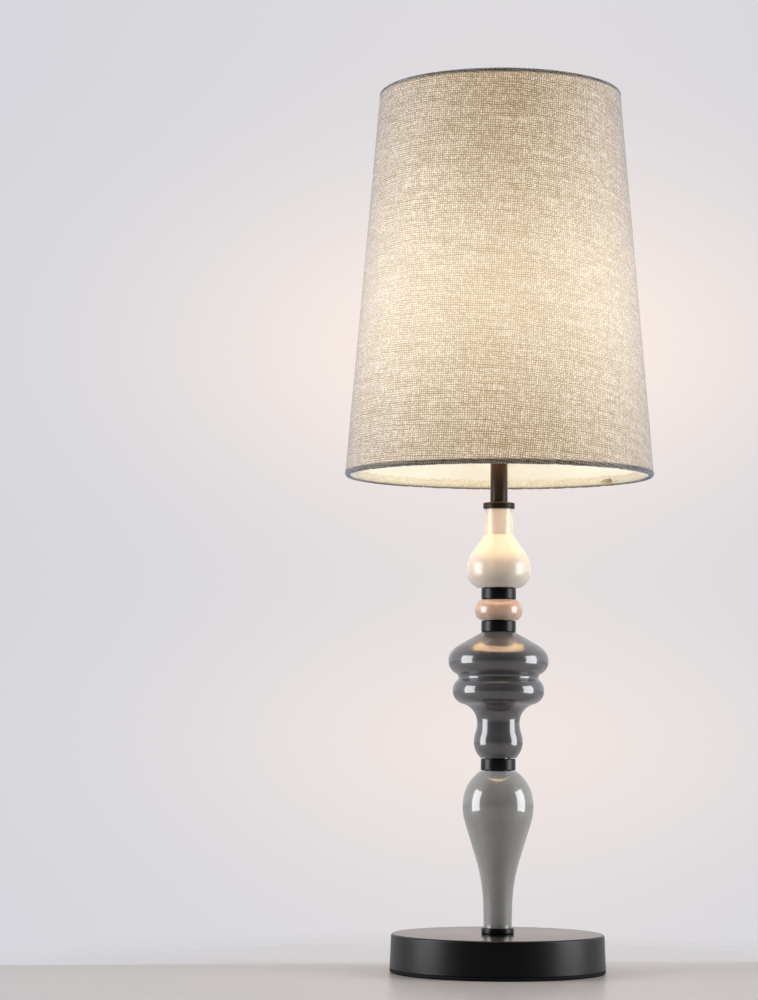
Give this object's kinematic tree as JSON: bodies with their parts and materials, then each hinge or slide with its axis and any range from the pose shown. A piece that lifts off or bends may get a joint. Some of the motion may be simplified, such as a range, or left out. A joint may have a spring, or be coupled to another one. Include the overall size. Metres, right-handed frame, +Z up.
{
  "type": "table lamp",
  "caption": "Table lamp: a turned stack of grey, peach and white glazed bodies with black spacers on a weighted round base, under a tapered linen shade with rolled hems",
  "frame": {"origin": "centre of the base's underside", "axes": "+Z up along the stem, +X to the right seen from the front, +Y to the back, where the cord inlet is"},
  "size_m": [0.25, 0.25, 0.7124],
  "materials": {
    "black_metal": "satin black lacquer",
    "ballast_iron": "rough cast",
    "pad_foam": "fine foam",
    "bush_rubber": "moulded",
    "rod_steel": "zinc plated",
    "light_grey_glaze": "glossy light grey glaze",
    "dark_grey_glaze": "glossy dark grey glaze",
    "peach_glaze": "glossy peach glaze",
    "white_glaze": "glossy white glaze",
    "bronze_metal": "dark bronze, polished",
    "clear_plastic": "clear film",
    "holder_plastic": "moulded black",
    "insert_ceramic": "unglazed white",
    "contact_brass": "stamped",
    "bulb_nickel": "nickel plated",
    "bulb_insulator": "black glass",
    "bulb_plastic": "moulded white",
    "board_aluminium": "white solder mask",
    "opal_globe": "opal, lit",
    "shade_linen": "grey linen, plain weave",
    "shade_liner": "cream film",
    "white_wire": "white powder coat"
  },
  "bodies": {
    "stand": {"base_cover": "black_metal", "base_weight": "ballast_iron", "foot_pad": "pad_foam", "cord_bush": "bush_rubber", "threaded_rod": "rod_steel", "rod_washer": "rod_steel", "spring_washer": "rod_steel", "rod_nut": "contact_brass", "foot_ring": "black_metal", "lower_urn": "light_grey_glaze", "lower_spacer": "black_metal", "middle_urn": "dark_grey_glaze", "middle_spacer": "black_metal", "peach_bead": "peach_glaze", "upper_spacer": "black_metal", "white_vase": "white_glaze", "top_collar": "bronze_metal", "seat_washers": "clear_plastic", "riser_tube": "bronze_metal", "holder_cap": "holder_plastic", "holder_body": "holder_plastic", "holder_insert": "insert_ceramic", "screw_shell": "contact_brass", "centre_contact": "contact_brass", "side_contact": "contact_brass", "terminal_screws": "rod_steel"},
    "clamp_ring": {"shade_ring": "holder_plastic"},
    "bulb": {"bulb_cap": "bulb_nickel", "bulb_insulator": "bulb_insulator", "bulb_contact": "bulb_nickel", "bulb_housing": "bulb_plastic", "light_board": "board_aluminium", "bulb_globe": "opal_globe"},
    "shade": {"shade_fabric": "shade_linen", "shade_liner": "shade_liner", "shade_top_wire": "white_wire", "shade_bottom_wire": "white_wire", "shade_fitter": "white_wire"}
  },
  "joints": [
    {"name": "shade_turn", "type": "hinge", "parent": "stand", "child": "shade", "pos_m": [0, 0, 0.4515], "axis": [0, 0, 1], "continuous": true},
    {"name": "clamp_ring_turn", "type": "hinge", "parent": "stand", "child": "clamp_ring", "pos_m": [0, 0, 0.4527], "axis": [0, 0, 1], "continuous": true},
    {"name": "bulb_turn", "type": "hinge", "parent": "stand", "child": "bulb", "pos_m": [0, 0, 0.4602], "axis": [0, 0, 1], "continuous": true}
  ]
}
